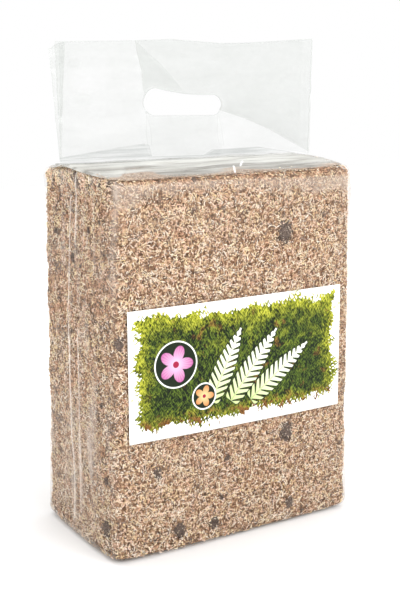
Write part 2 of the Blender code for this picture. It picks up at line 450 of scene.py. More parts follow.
GROWTH = growth()


def scatter(count, draw):
    """Seeded points on the bed, as thick as GROWTH says, with their normals."""
    pick = draw.choice(len(AREA), size=count, p=GROWTH)
    first, second = draw.random((2, count, 1))
    over = first + second > 1
    first, second = np.where(over, 1 - first, first), np.where(over, 1 - second, second)
    corner = TRIANGLES[pick]
    edges = first * (corner[:, 1] - corner[:, 0]) + second * (corner[:, 2] - corner[:, 0])
    return corner[:, 0] + edges, FACING[pick]


print("bed area in square metres:", round(AREA.sum(), 3))

# %% Spines and spindles
FILM_ROOM = 0.00045
LIE_FLAT = 0.5
FLATNESS, GIRTH, TILT = 0.70, (0.7, 1.1), 0.4


def spines(knots, length, turn, swing, normal, draw):
    """Flat curves centred on 0, in steps of equal length.

    The heading starts anywhere, but nearer to level on the bale's left and right sides. It turns evenly by
    turn from end to end, and swings to one side and back by swing on the way.
    """
    flat = LIE_FLAT * (np.abs(normal[:, 0]) > 0.5)
    along = np.linspace(-0.5, 0.5, knots - 1)
    start = draw.uniform(0, 2 * np.pi, (len(length), 1))
    start = np.arctan2(np.sin(start) * (1 - flat[:, None]), np.cos(start))
    heading = start + turn[:, None] * along + swing[:, None] * np.sin(2 * np.pi * along)
    step = np.stack([np.cos(heading), np.sin(heading)], axis=-1) * (length / (knots - 1))[:, None, None]
    spine = np.concatenate([np.zeros((len(length), 1, 2)), np.cumsum(step, axis=1)], axis=1)
    return spine - spine.mean(axis=1, keepdims=True)


def spindles(centre, normal, spine, width, rise, base, draw):
    """Closed three-sided strands along spines laid on a surface.

    Each inner knot gets a ring of three points, one above and two beside it, wider than it is high; the end
    knots are tips. The middle of a strand is raised and one tip dips, and what would pass through the film
    is pressed back under it.
    """
    count, knots = spine.shape[:2]
    helper = np.where(np.abs(normal[:, 2:]) < 0.9, [[0, 0, 1.0]], [[1.0, 0, 0]])
    right = np.cross(helper, normal)
    right /= np.linalg.norm(right, axis=1)[:, None]
    ahead = np.cross(normal, right)
    place = np.linspace(-1, 1, knots)
    tilt = draw.normal(0, TILT, (count, 1))
    height = base[:, None] + rise[:, None] * (1 - place**2 + tilt * place)
    core = centre[:, None] + spine[..., :1] * right[:, None] + spine[..., 1:] * ahead[:, None]
    core = core + height[..., None] * normal[:, None]
    run = np.gradient(spine, axis=1)
    run /= np.linalg.norm(run, axis=-1, keepdims=True)
    side = -run[..., 1:] * right[:, None] + run[..., :1] * ahead[:, None]
    girth = (width[:, None] * draw.uniform(*GIRTH, (count, knots)))[:, 1:-1, None, None]
    turns = np.radians([90, 210, 330])[:, None]
    ring = np.cos(turns) * side[:, 1:-1, None] + FLATNESS * np.sin(turns) * normal[:, None, None]
    ring = core[:, 1:-1, None] + girth * ring
    points = np.concatenate([core[:, :1], ring.reshape(count, -1, 3), core[:, -1:]], axis=1)
    straight = unpressed(points)
    past, outward = beyond_block(straight)
    return settled(pressed(straight - outward * np.maximum(past - FILM_ROOM, 0)[..., None]))


def spindle_faces(count, knots):
    """The triangles of that many spindles: a fan at each tip and two triangles a side between rings."""
    rings = knots - 2
    fan = [(0, 1 + (i + 1) % 3, 1 + i) for i in range(3)]
    last = 1 + 3 * (rings - 1)
    fan += [(last + 3, last + i, last + (i + 1) % 3) for i in range(3)]
    for r in range(rings - 1):
        for i in range(3):
            a, b = 1 + 3 * r + i, 1 + 3 * r + (i + 1) % 3
            fan += [(a, b, b + 3), (a, b + 3, a + 3)]
    size = 2 + 3 * rings
    return (np.arange(count)[:, None, None] * size + np.array(fan)).reshape(-1, 3)


# The crown number sets the painted shade of each strand: the lower it is, the darker the colour is painted.
def spindle_crown(count, knots):
    """1 on the upper point of each ring, 0 on the points beside it, and a little at the tips."""
    ring = [1.0, 0.0, 0.0] * (knots - 2)
    return np.tile([0.25, *ring, 0.25], count)


# %% [markdown]
# ## Colours of the strands
#
# From a step away the moss is a warm tan, but close up it is a mixture: cream and straw tips, pinkish tan
# stems, russet leaves, and grey or umber bits in the gaps. Each colour is a piece of its own. The share of
# each colour drifts over the bale with slow random fields, so the colours gather in clumps. High on the left
# side and along the front's top rim there is less cream and more russet and umber. Along the top rim this is
# partly the moss's own browner colour and partly painted shade, for the dark line under the film's edge.

# %% The kinds of strand
MOSS_KINDS = {
    "cream": {"share": 0.27, "clump": 0.7, "light": "fff6ea", "dark": "f1dcc0", "lie": 0.45},
    "straw": {"share": 0.19, "clump": 0.8, "light": "fff2d3", "dark": "ebcd9c", "lie": 0.30},
    "tan": {"share": 0.29, "clump": 0.6, "light": "ffe7d5", "dark": "e2bca0", "lie": 0.15},
    "russet": {"share": 0.14, "clump": 1.1, "light": "efc3a4", "dark": "b3866a", "lie": 0.0},
    "umber": {"share": 0.11, "clump": 1.3, "light": "a8988e", "dark": "3c2e27", "lie": -0.1},
}
CLUMP_SIZE = 0.018
HIGH_LEFT, HIGH_LEFT_SHIFT = (0.10, 0.26), np.array([-0.55, 0.45, 0.0, 1.4, 1.1])
RIM_HEIGHT = ((-0.143, 0.0030), (0.0, 0.0045), (0.06, 0.0070), (0.143, 0.0085))
RIM_SHADE_SHIFT = np.array([-0.95, 0.3, -0.75, 4.0, 2.6])
RIM_FADE, RIM_FRONT = (-0.0015, 0.0005), (0.066, 0.074)


def kind_of(points, normal, draw):
    """Which kind each strand is, drawn with weights that drift from place to place."""
    left = smooth(-normal[:, 0], 0.3, 0.8)
    weight = np.empty((len(points), len(MOSS_KINDS)))
    for i, kind in enumerate(MOSS_KINDS.values()):
        drift = waves(points, CLUMP_SIZE, 100 + i) * (0.85 + 0.6 * left)
        weight[:, i] = kind["share"] * np.exp(kind["clump"] * drift)
    high_left = left * smooth(points[:, 2], *HIGH_LEFT)
    weight *= 1 + high_left[:, None] * HIGH_LEFT_SHIFT
    # Partly painted shade: along the front's top rim, more russet and umber strands darken the line under the
    # film's edge.
    rim_low = BALE[2] - along_places(points[:, 0], RIM_HEIGHT)
    rim = smooth(points[:, 2] - rim_low, *RIM_FADE) * smooth(-points[:, 1], *RIM_FRONT)
    weight *= 1 + rim[:, None] * RIM_SHADE_SHIFT
    weight /= weight.sum(axis=1, keepdims=True)
    return (draw.random((len(points), 1)) > weight.cumsum(axis=1)).sum(axis=1).clip(max=len(MOSS_KINDS) - 1)


def strand_material(name, light, dark):
    """Each strand has its own tint and fine grain on it; its flanks get painted shade, darker than its crown.
    """
    material, shader, place = new_material(name, Roughness=0.8, Specular_IOR_Level=0.25)
    grain = noise(place, 1100, detail=3, rough=0.6)
    colour = (number(place, "tint") + (grain - 0.5) * 0.7).held().mixed(dark, light)
    # Painted shade: where crown is low, on the flanks of each strand, the colour is mixed towards dark brown
    # 745b49.
    lit = number(place, "crown").between(-0.6, 0.5)
    colour = lit.mixed("745b49", colour)
    feed(shader, Base_Color=colour, Normal=bump(grain, 0.5, 0.0004))
    return material


def add_strands(name, points, tint, light, dark):
    """One piece of strands of one colour, each strand with its tint."""
    count, corners = points.shape[:2]
    knots = (corners - 2) // 3 + 2
    values = {"tint": np.repeat(tint, corners), "crown": spindle_crown(count, knots)}
    material = strand_material(name, light, dark)
    add_piece(name, points.reshape(-1, 3), spindle_faces(count, knots), material, values)


# %% Lay the curls and the bits
CURLS = {"count": 27000, "knots": 4, "length": (0.0032, 0.0078), "width": (0.00046, 0.00078), "bend": 1.9}
BITS = {"count": 60000, "knots": 3, "length": (0.0016, 0.0040), "width": (0.00048, 0.00086), "bend": 0.9}
STRAND_RISE, STRAND_TINTS = (0.0001, 0.0010), 0.34


def lay_strands(prefix, plan, seed):
    """All strands of one plan, sorted into one piece for each colour."""
    draw = np.random.default_rng(seed)
    count = plan["count"]
    centre, normal = scatter(count, draw)
    kind = kind_of(centre, normal, draw)
    length = draw.uniform(*plan["length"], count)
    turn, swing = draw.normal(0, plan["bend"], count), draw.normal(0, plan["bend"] / 3, count)
    width = draw.uniform(*plan["width"], count)
    rise = draw.uniform(*STRAND_RISE, count)
    tint = np.clip(draw.normal(0.5, STRAND_TINTS, count), 0, 1)
    spine = spines(plan["knots"], length, turn, swing, normal, draw)
    for i, (name, look) in enumerate(MOSS_KINDS.items()):
        mine = kind == i
        base = np.full(mine.sum(), look["lie"] * MM)
        points = spindles(centre[mine], normal[mine], spine[mine], width[mine], rise[mine], base, draw)
        add_strands(f"{prefix}_{name}", points, tint[mine], look["light"], look["dark"])


lay_strands("bits", BITS, 8)
lay_strands("moss", CURLS, 7)

# %% [markdown]
# ## Long fibres, flat flecks and dark leaves
#
# Thin pale fibres, one or two centimetres long, wander over the tangle, and dark brown flecks lie among it:
# partly leaf and bark, and partly painted shade that deepens the dark gaps. Here and there a clump of dark
# leaves is pressed against the film. All of them come from the same functions. Only the dark leaves are
# gathered, at places given in metres with a radius in millimetres, and round a few more places drawn at
# random.

# %% Lay the fibres, the flecks and the dark leaves
FIBRES = {"count": 2200, "knots": 6, "length": (0.010, 0.022), "width": (0.00024, 0.00040), "lie": 0.0006,
          "bend": 1.3, "light": "fff6e2", "dark": "e0c19a"}
# Partly painted shade: the flecks' near-black browns darken the tangle like the gaps between strands.
FLECKS_AND_SHADE = {"count": 3000, "knots": 3, "length": (0.0016, 0.0048), "width": (0.0006, 0.0012), "lie": 0.0006,
          "bend": 0.5, "light": "84634a", "dark": "2b1d14"}
LEAVES = {"knots": 4, "length": (0.0022, 0.0050), "width": (0.0007, 0.0013), "lie": 0.0008,
          "bend": 0.5, "light": "6f5f57", "dark": "2c211b"}
MORE_RISE, MORE_TINTS = (0, 0.0003), 0.3
DARK_FRONT = ((0.0550, 0.3186, 7.0), (-0.1379, 0.2261, 5.5), (0.0590, 0.1038, 6.5), (-0.0969, 0.0882, 4.0),
              (-0.0311, 0.0211, 4.2), (-0.0719, 0.0228, 5.2), (0.0645, 0.0235, 4.2))
DARK_LEFT = ((-0.0575, 0.0315, 6.0),)
DARK_AROUND, AROUND_RADIUS = 30, (1.2, 2.8)
LEAF_TRIES = 640000


def lay_more(name, plan, places, draw):
    """Spindles at these places, all of one colour."""
    centre, normal = places
    count = len(centre)
    turn, swing = draw.normal(0, plan["bend"], count), draw.normal(0, plan["bend"] / 2, count)
    length = draw.uniform(*plan["length"], count)
    spine = spines(plan["knots"], length, turn, swing, normal, draw)
    width = draw.uniform(*plan["width"], count)
    rise = draw.uniform(*MORE_RISE, count)
    points = spindles(centre, normal, spine, width, rise, np.full(count, plan["lie"]), draw)
    tint = np.clip(draw.normal(0.5, MORE_TINTS, count), 0, 1)
    add_strands(name, points, tint, plan["light"], plan["dark"])


def leaf_places(draw):
    """Seeded points that gather round the clumps, thinning out with a bell curve from each middle."""
    centre, normal = scatter(LEAF_TRIES, draw)
    clumps = [(x, -BALE[1] / 2, z, r) for x, z, r in DARK_FRONT]
    clumps += [(-BALE[0] / 2, y, z, r) for y, z, r in DARK_LEFT]
    more, _ = scatter(DARK_AROUND, draw)
    clumps += [(*point, radius) for point, radius in zip(more, draw.uniform(*AROUND_RADIUS, DARK_AROUND))]
    close = np.zeros(len(centre))
    for x, y, z, radius in clumps:
        far = np.linalg.norm((centre - [x, y, z]) * [1, 1, 0.75], axis=1) / (radius * MM)
        close = np.maximum(close, np.exp(-far**4))
    keep = draw.random(len(centre)) < close
    return centre[keep], normal[keep]


DRAW = np.random.default_rng(21)
lay_more("moss_fibres", FIBRES, scatter(FIBRES["count"], DRAW), DRAW)
lay_more("moss_flecks_and_shade", FLECKS_AND_SHADE, scatter(FLECKS_AND_SHADE["count"], DRAW), DRAW)
lay_more("dark_leaves", LEAVES, leaf_places(DRAW), DRAW)

# %% [markdown]
# ## The film round the bale
#
# Film a tenth of a millimetre thick has no thickness that the eye can see, so it is one open surface just
# above the strands. It is a stack of rings. A ring is a rounded rectangle, kept as two things that can be
# blended apart: points of the inner rectangle, and the directions away from them. The first rings cover the
# underside, all but a small gap in its middle, the next climb the walls, and the last ones lean in to the
# line where the header begins.

# %% Rings of film
FILM_OUT = SKIN + 0.00005
FILM_EDGE = EDGE + FILM_OUT
CORNER_STEPS = 10
FRONT_STEP, RIGHT_STEP, BACK_STEP, LEFT_STEP = 0.0026, 0.0016, 0.0034, 0.0011


def side_of(start, end, spacing):
    """Points from a start towards an end, the end left out, at about this spacing."""
    steps = max(round(abs(end - start) / spacing), 1)
    return np.linspace(start, end, steps, endpoint=False)


def ring_plan():
    """Round the bale, anticlockwise from above: inner points and directions, from the front's left end."""
    half_x, half_y = BLOCK[0] / 2 - EDGE, BLOCK[1] / 2 - EDGE
    inner, away = [], []
    runs = (
        (side_of(-half_x, half_x, FRONT_STEP), -half_y, 0, -90),
        (side_of(-half_y, half_y, RIGHT_STEP), half_x, 1, 0),
        (side_of(half_x, -half_x, BACK_STEP), half_y, 0, 90),
        (side_of(half_y, -half_y, LEFT_STEP), -half_x, 1, 180),
    )
    for line, level, axis, facing in runs:
        straight = np.column_stack([line, np.full(len(line), level)])
        inner.append(straight if axis == 0 else straight[:, ::-1])
        turn = np.radians(facing)
        away.append(np.tile([math.cos(turn), math.sin(turn)], (len(line), 1)))
        end = math.copysign(half_x if axis == 0 else half_y, line[-1] - line[0])
        corner = (end, level) if axis == 0 else (level, end)
        turns = np.radians(facing + np.linspace(0, 90, CORNER_STEPS, endpoint=False))
        inner.append(np.tile(corner, (CORNER_STEPS, 1)))
        away.append(np.column_stack([np.cos(turns), np.sin(turns)]))
    return np.concatenate(inner), np.concatenate(away)


INNER, AWAY = ring_plan()
RING = len(INNER)
RIDGE = ((-0.1562, 0.3908), (-0.1300, 0.3905), (0.1250, 0.3890), (0.1432, 0.3852))
RIDGE_LEFT, RIDGE_RIGHT = RIDGE[0][0], RIDGE[-1][0]
RIDGE_GAP = 0.0009


def ridge_height(x):
    """Height of the line where the roof becomes the header: level, and falling at its right end."""
    return along_places(x, RIDGE)


print("film ring:", RING, "points")

# %% [markdown]
# The walls carry the bag's folds. A bag with side folds keeps the memory of them as upright creases down the
# middle of its sides. Each crease is a line of places up the side (height, then y), a width, a height, and
# shares of haze and glow. The same lines raise the film and whiten it, so the highlight and the ridge always
# agree.

# %% Folds of the side
LEFT_FOLDS = (
    {"line": ((0.316, -0.0012), (0.3414, -0.0036), (0.3661, -0.0050), (0.3743, -0.0100)),
     "width": 0.0019, "height": 0.0009, "haze": 0.66, "glow": 1.0},
    {"line": ((0.2964, -0.0159), (0.3187, -0.0193), (0.3437, -0.0229), (0.3683, -0.0264)),
     "width": 0.0020, "height": 0.0005, "haze": 0.22, "glow": 0.4},
    {"line": ((0.20, 0.0148), (0.2156, 0.0167), (0.2416, 0.0175), (0.2629, 0.0145), (0.3246, 0.0108),
              (0.3500, 0.0086)),
     "width": 0.0021, "height": 0.0010, "haze": 0.56, "glow": 0.8},
    {"line": ((0.0249, 0.0109), (0.0504, 0.0082), (0.0834, 0.0088), (0.1093, 0.0133), (0.1344, 0.0131),
              (0.1629, 0.0150), (0.2100, 0.0150)),
     "width": 0.0030, "height": 0.0012, "haze": 0.62, "glow": 0.9},
    {"line": ((0.0381, -0.0044), (0.0880, -0.0058), (0.1202, -0.0052), (0.1577, -0.0061), (0.2181, -0.0047)),
     "width": 0.0020, "height": 0.0008, "haze": 0.52, "glow": 0.8},
)
RIGHT_FOLDS = (
    {"line": ((0.03, 0.011), (0.12, 0.010), (0.24, 0.014), (0.365, 0.010)),
     "width": 0.0026, "height": 0.0011, "haze": 0.58, "glow": 0.85},
    {"line": ((0.10, -0.007), (0.22, -0.005), (0.33, -0.009)),
     "width": 0.0020, "height": 0.0007, "haze": 0.45, "glow": 0.7},
    {"line": ((0.20, 0.034), (0.28, 0.030), (0.352, 0.036)),
     "width": 0.0020, "height": 0.0006, "haze": 0.30, "glow": 0.5},
)
BACK_SEAM = {"place": 0.018, "width": 0.0052, "edge": 0.0011, "wander": 0.001, "haze": 0.42, "glow": 0.7}
FOLD_FADE = 0.012


def fold_strength(points, fold):
    """1 on a fold's line, falling to 0 at its width, and fading out at its two ends."""
    line = along_places(points[:, 2], fold["line"])
    near = np.clip(1 - np.abs(points[:, 1] - line) / fold["width"], 0, 1)
    low, high = fold["line"][0][0], fold["line"][-1][0]
    lasting = smooth(points[:, 2], low - FOLD_FADE, low) * (1 - smooth(points[:, 2], high, high + FOLD_FADE))
    return near * lasting


def side_folds(points, facing_x):
    """Height, haze and glow of all the folds at points of the walls."""
    height, haze, glow = np.zeros((3, len(points)))
    for folds, wall in ((LEFT_FOLDS, facing_x < -0.9), (RIGHT_FOLDS, facing_x > 0.9)):
        for fold in folds:
            strength = fold_strength(points, fold) * wall
            height = np.maximum(height, strength * fold["height"])
            haze = np.maximum(haze, strength * fold["haze"])
            # Painted highlight: the glow whitens the film along each fold's line.
            glow = np.maximum(glow, (strength > 0.05) * fold["glow"])
    return height, haze, glow


def back_seam(points, facing_y):
    """Haze and glow of the seam down the back: a flat strip with two bright edges."""
    middle = BACK_SEAM["place"] + BACK_SEAM["wander"] * waves(points * [0, 0, 1], 0.2, 305)
    far = np.abs(points[:, 0] - middle)
    edges = bell(far, BACK_SEAM["width"], BACK_SEAM["edge"])
    strip = (edges + 0.45 * (far < BACK_SEAM["width"])) * (facing_y > 0.9)
    return strip * BACK_SEAM["haze"], np.clip(strip, 0, 1) * BACK_SEAM["glow"]


# %% [markdown]
# How the film looks varies from place to place: it is clear where it clings, a warm grey veil where it stands
# off at the edges and corners, and paler where it is creased, where the paleness is a painted highlight. Two
# numbers on every point say so. Haze is how much of the film is seen, and glow is how pale it is. Both are
# made of a few soft masks.

# %% Where the film is hazy
BAND_STRENGTH = ((-0.143, 0.20), (-0.122, 0.26), (-0.09, 0.20), (0.0, 0.18), (0.10, 0.26), (0.143, 0.30))
BAND_DEPTH = ((-0.143, 0.027), (-0.118, 0.018), (-0.09, 0.008), (0.0, 0.006), (0.06, 0.010), (0.143, 0.013))
STRIP_TURN, RIGHT_TURN, STRIP_SPREAD = ((0.0, 34), (0.31, 34), (0.376, 60)), 140, 26
PATCH = {"y": (-0.034, 0.006), "z": (0.140, 0.040), "haze": 0.30}
LOW_HAZE = {"y": (-0.058, -0.040), "z": (0.09, 0.20), "haze": 0.17, "drift": 0.05}
RIGHT_END = (0.105, 0.14)


def wall_haze(points, away):
    """Haze and glow of the walls: a band under the top edge, a strip at the corner, patches and drifts."""
    x, y, z = points.T
    top = BALE[2] - z
    ragged = waves(points, 0.014, 301)
    slow = waves(points, 0.05, 302)
    upright = waves(points * [1, 1, 0.14], 0.012, 303)
    front = smooth(-away[:, 1], 0.5, 0.95)
    left = smooth(-away[:, 0], 0.5, 0.95)
    rim = along_places(x, RIM_HEIGHT)
    depth = along_places(x, BAND_DEPTH) + 0.003 * ragged
    band = smooth(top, rim - 0.0015, rim + 0.001) * (1 - smooth(top - rim, depth - 0.004, depth + 0.006))
    band = front * along_places(x, BAND_STRENGTH) * band
    turn = np.degrees(np.arctan2(-away[:, 1], -away[:, 0]))
    strip = bell(turn, along_places(z, STRIP_TURN), STRIP_SPREAD)
    strip = strip * (0.24 * smooth(z, 0.24, 0.29) + 0.12) * (0.85 + 0.15 * np.clip(ragged, -1, 1))
    strip = strip * smooth(top, 0.002, 0.006)
    right = bell(turn, RIGHT_TURN, STRIP_SPREAD) * 0.20 + front * smooth(x, *RIGHT_END) * 0.08
    low = left * (1 - smooth(z, *LOW_HAZE["z"])) * smooth(y, *LOW_HAZE["y"])
    low = low * (LOW_HAZE["haze"] + LOW_HAZE["drift"] * upright)
    patch = left * PATCH["haze"] * bell(y, *PATCH["y"]) * bell(z, *PATCH["z"])
    wrinkles = left * np.clip(upright - 0.5, 0, 1) * 0.13 * smooth(z, 0.02, 0.06)
    drift = (0.020 + 0.02 * np.clip(slow, -1, 1.5)) * (1 - 0.7 * left)
    haze = np.clip(drift + band + strip + right + low + patch + wrinkles, 0, 1)
    glow = np.clip(band * 0.8 + strip * 0.6 + patch * 0.6 + wrinkles * 1.5, 0, 1)
    return haze, glow


# %% [markdown]
# The roof is many layers of film drawn together, so it is pale and covers the moss. From each point of the
# top edge the film runs in to the ridge, with fine pleats along it in lighter and darker greys. Near the
# front edge it lies on the moss, which shows through it, most of all beside the left corner, where two folds
# meet. A band of darker grey just in from the front edge is painted shade, for the shaded moss under the
# film.

# %% Build the bag
BOTTOM_SHARES = (0.04, 0.35, 0.7, 1.0)
WALL_STEPS = 88
TOP_STEPS = 16
ROOF_STEPS = 26
DENSE_TOP = 0.045
BOTTOM_TURN, TOP_TURN = 75, 62
ROOF_HAZE = ((0.0, 0.10), (0.05, 0.60), (0.25, 0.76), (0.50, 0.88), (1.0, 0.95))
ROOF_STARTS = ((-0.143, 0.0), (0.0, 0.015), (0.143, 0.07))
ROOF_FOLD = ((-0.0938, -0.1424), (-0.0166, -0.0946))
WINDOW = {"start": (-0.001, 0.002), "end": (0.020, 0.050), "y": (-0.034, -0.016), "share": (0.04, 0.09)}
ARCH, SAG, PLEAT = 0.0013, 0.0016, 0.0006
STAND_OFF = {"height": 0.352, "reach": 0.016, "out": 0.0015}


def rounded(turn, level):
    """Way out and height on the round edge that starts at this level, after a turn in degrees."""
    turn = math.radians(turn)
    return FILM_EDGE * math.cos(turn), level + FILM_EDGE * math.sin(turn)


def film_rows():
    """Every ring of the bag in the straight box: share of the inner points, way out from them, and height."""
    low, high = SKIN - FILM_OUT + FILM_EDGE, BALE[2] - SKIN + FILM_OUT - FILM_EDGE
    dense = high - DENSE_TOP
    levels = [*np.linspace(low, dense, WALL_STEPS)[1:], *np.linspace(dense, high, TOP_STEPS + 1)[1:]]
    rows = [(share, 0.0, low - FILM_EDGE) for share in BOTTOM_SHARES]
    rows += [(1.0, *rounded(turn, low)) for turn in np.linspace(-BOTTOM_TURN, 0, 6)]
    rows += [(1.0, FILM_EDGE, level) for level in levels]
    rows += [(1.0, *rounded(turn, high)) for turn in np.linspace(0, TOP_TURN, 7)[1:]]
    return rows


def wall_points():
    """The walls and underside as points, with the haze and the glow on them."""
    rows = film_rows()
    walls = np.concatenate([
        np.column_stack([INNER * share + AWAY * out, np.full(RING, level)]) for share, out, level in rows
    ])
    away = np.tile(AWAY, (len(rows), 1))
    height, fold_haze, fold_glow = side_folds(walls, away[:, 0])
    haze, glow = wall_haze(walls, away)
    seam_haze, seam_glow = back_seam(walls, away[:, 1])
    haze = np.maximum(haze, np.maximum(fold_haze, seam_haze))
    glow = np.maximum(glow, np.maximum(fold_glow, seam_glow))
    walls[:, 0] += np.sign(walls[:, 0]) * height
    slack = bell(walls[:, 2], STAND_OFF["height"], STAND_OFF["reach"])
    slack = slack * smooth(away[:, 0] - away[:, 1], 1.0, 1.4) * STAND_OFF["out"]
    walls[:, :2] += away * slack[:, None]
    return settled(pressed(walls)), haze, glow


def roof_points(edge):
    """Rings from the top edge to the ridge, with the haze and the tone on them.

    The share of the way in is even. Pleats along the bale raise the long sides; the short ends sag a little.
    """
    share = np.linspace(0, 1, ROOF_STEPS + 1)[1:, None]
    reach = np.abs(edge[:, 0]).max()
    ridge_x = np.interp(edge[:, 0], (-reach, reach), (RIDGE_LEFT, RIDGE_RIGHT))
    ridge_y = RIDGE_GAP * np.clip(edge[:, 1] / np.abs(INNER[:, 1]).max(), -1, 1)
    ridge = np.column_stack([ridge_x, ridge_y, ridge_height(ridge_x)])
    roof = edge + (ridge - edge) * share[..., None]
    gable = smooth(np.abs(AWAY[:, 0]), 0.1, 0.7)
    arch = np.sin(np.pi * share)
    pleat = waves(roof * [0.10, 1.6, 0], 0.009, 311) * PLEAT + waves(roof * [0.3, 1, 0], 0.03, 314) * PLEAT
    roof[..., 2] += (ARCH + np.maximum(pleat, -0.0010)) * np.sqrt(arch) * (1 - gable)
    roof[..., 2] -= SAG * arch * gable
    x, y = roof[..., 0], roof[..., 1]
    streak = waves(roof * [0.10, 1, 0], 0.008, 312) * 0.6 + waves(roof * [0.25, 1, 0], 0.022, 313) * 0.6
    starts = along_places(x, ROOF_STARTS) + 0.10 * gable * smooth(edge[:, 1], -0.06, -0.02)
    haze = along_places(share - starts, ROOF_HAZE) + streak * 0.06
    beside = x - along_places(y, ROOF_FOLD)
    window = smooth(beside, *WINDOW["start"]) * (1 - smooth(beside, *WINDOW["end"])) * (y < 0)
    window = window * (1 - smooth(y, *WINDOW["y"]))
    haze = haze - (0.20 + 0.10 * streak) * window * smooth(share, *WINDOW["share"])
    # Painted shade: grey darkens the roof's colour in a band just in from the front edge, for the shaded moss
    # seen through the film.
    grey = smooth(share, 0.03, 0.12) * (1 - smooth(share, 0.45, 0.75))
    grey = grey * smooth(x, -0.12, -0.06) * (1 - 0.8 * smooth(x, 0.01, 0.07))
    left_fan = smooth(-x, 0.09, 0.13)
    tone = 0.36 + 0.44 * streak + 0.30 * grey - 0.14 * gable * (1 - left_fan) + 0.12 * left_fan
    return roof.reshape(-1, 3), np.clip(haze, 0.05, 0.97).ravel(), np.clip(tone, 0, 1).ravel()


def build_bag(material):
    """Walls and roof in one sheet: haze is on both, glow only on the walls, and tone only on the roof."""
    walls, haze, glow = wall_points()
    roof, roof_haze, tone = roof_points(walls[-RING:])
    points = np.concatenate([walls, roof])
    faces = grid_faces(len(points) // RING, RING, ring=True)
    values = {
        "haze": np.concatenate([haze, roof_haze]),
        "glow": np.concatenate([glow, tone * 0]),
        "tone": np.concatenate([haze * 0, tone]),
    }
    bag = add_piece("bag_film", points, faces, material, values)
    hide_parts("film_bag")


# %% [markdown]
# Clear film is drawn by how much of it is seen: an alpha of a few hundredths where it is clear, more where it
# is hazy, and more towards a glancing view, as any glossy sheet does. Fine noise breaks the haze up, so that
# it reads as wrinkles and not as fog. Two hard creases of the roof get painted highlights: bright lines, near
# white.

# %% The film's material
GLINTS = (((0.0120, -0.0490), (-0.0020, -0.0740)), ((0.0400, -0.0240), (0.0190, -0.0510)))


def film_material():
    """The alpha is haze, broken up by noise; the colour is a warm veil on the walls and grey on the roof."""
    material, shader, place = new_material("clear_film", Roughness=0.18, IOR=1.45)
    haze, glow = number(place, "haze"), number(place, "glow")
    crumple = noise(place, 260, detail=4, rough=0.6)
    streaks = noise(place, 60, detail=4, rough=0.65, stretch=(0.16, 1.4, 6.0))
    glance = place.node("LayerWeight", None, {"Blend": 0.25}, output=1)
    thin = 1 - haze.between(0.62, 0.70)
    fine = noise(place, 150, detail=4, rough=0.7, stretch=(0.2, 1.2, 5.0))
    fold = (number(place, "tone") + (streaks - 0.5) * 1.3 + (fine - 0.5) * 0.9).held()
    white = fold.coloured((0.0, "c9c9c4"), (0.4, "b5b4ae"), (0.75, "9d9b95"), (1.0, "83817b"))
    # Where glow is high along the folds, this pale veil is a painted highlight.
    veil = glow.mixed("b39f8e", "eadfd4")
    colour = thin.mixed(white, veil)
    cover = haze * (1 + (crumple - 0.5) * thin * 1.6) + glance * 0.08 + 0.01
    x, y, z = axes_of(place)
    on_roof = z.between(0.380, 0.382)
    # Painted highlights: each glint is a near-white line along a crease of the roof, and more opaque.
    for start, end in GLINTS:
        glint = hairline(x, y, start, end, 0.0013) * on_roof
        cover = cover + glint
        colour = glint.mixed(colour, "f4f4f4")
    normal = bump(crumple + streaks * (1 - thin), 0.35, 0.0011)
    feed(shader, Base_Color=colour, Alpha=cover.held(), Normal=normal)
    return material


build_bag(film_material())

# %% [markdown]
# ## The header
#
# Above the ridge the front and back of the bag lie together, with a hand hole punched through. Each is a
# sheet worked out between two outlines. From every point of the outer edge, the nearest point of the hole's
# middle line gives a direction, and the sheet runs straight from the hole's rim to the edge along it. The rim
# keeps its true curve that way, and the corners stay sharp.

# %% The header's outlines
HOLE_LEFT = np.array([-0.0494, 0.4486])
HOLE_RIGHT = np.array([0.0179, 0.4440])
HOLE_RADIUS = (0.0134, 0.0103)
HOLE_DIP = 0.0022
TOP_EDGE = ((-0.1660, 0.5072), (-0.1591, 0.5076), (-0.0707, 0.5090), (-0.0300, 0.5104), (0.0000, 0.5086),
            (0.0290, 0.5066), (0.0700, 0.5078), (0.1430, 0.5118))
FRONT_LEFT_TOP, FRONT_RIGHT_TOP = -0.1591, 0.1430
BACK_LEFT_TOP, BACK_TOP_DROP, DROP_POWER = -0.1655, 0.0088, 45
HEADER_SPACING = 0.0024
HEADER_RIGHT_STEPS, HEADER_LEFT_STEPS = 50, 51
RIM_SHARES, EDGE_SHARES = (0, 0.018), (0.982, 1)
HEADER_RINGS = 30


def outline(left_top, drop):
    """Round the sheet's edge, anticlockwise seen from the front, from its lower left corner.

    The top edge runs through TOP_EDGE, and its left end is lower by drop, which fades fast to the right.
    """
    base_x = side_of(RIDGE_LEFT, RIDGE_RIGHT, HEADER_SPACING)
    base = np.column_stack([base_x, ridge_height(base_x)])
    top_x = side_of(FRONT_RIGHT_TOP, left_top, HEADER_SPACING)
    across = (top_x - left_top) / (FRONT_RIGHT_TOP - left_top)
    top = np.column_stack([top_x, along_places(top_x, TOP_EDGE) - drop * (1 - across) ** DROP_POWER])
    right = np.linspace(base[-1] * [0, 1] + [RIDGE_RIGHT, 0], top[0], HEADER_RIGHT_STEPS)[:-1]
    right[0] = RIDGE[-1]
    left = np.linspace(top[-1] * [0, 1] + [left_top, 0], RIDGE[0], HEADER_LEFT_STEPS)[:-1]
    return np.concatenate([base, right, top, left])


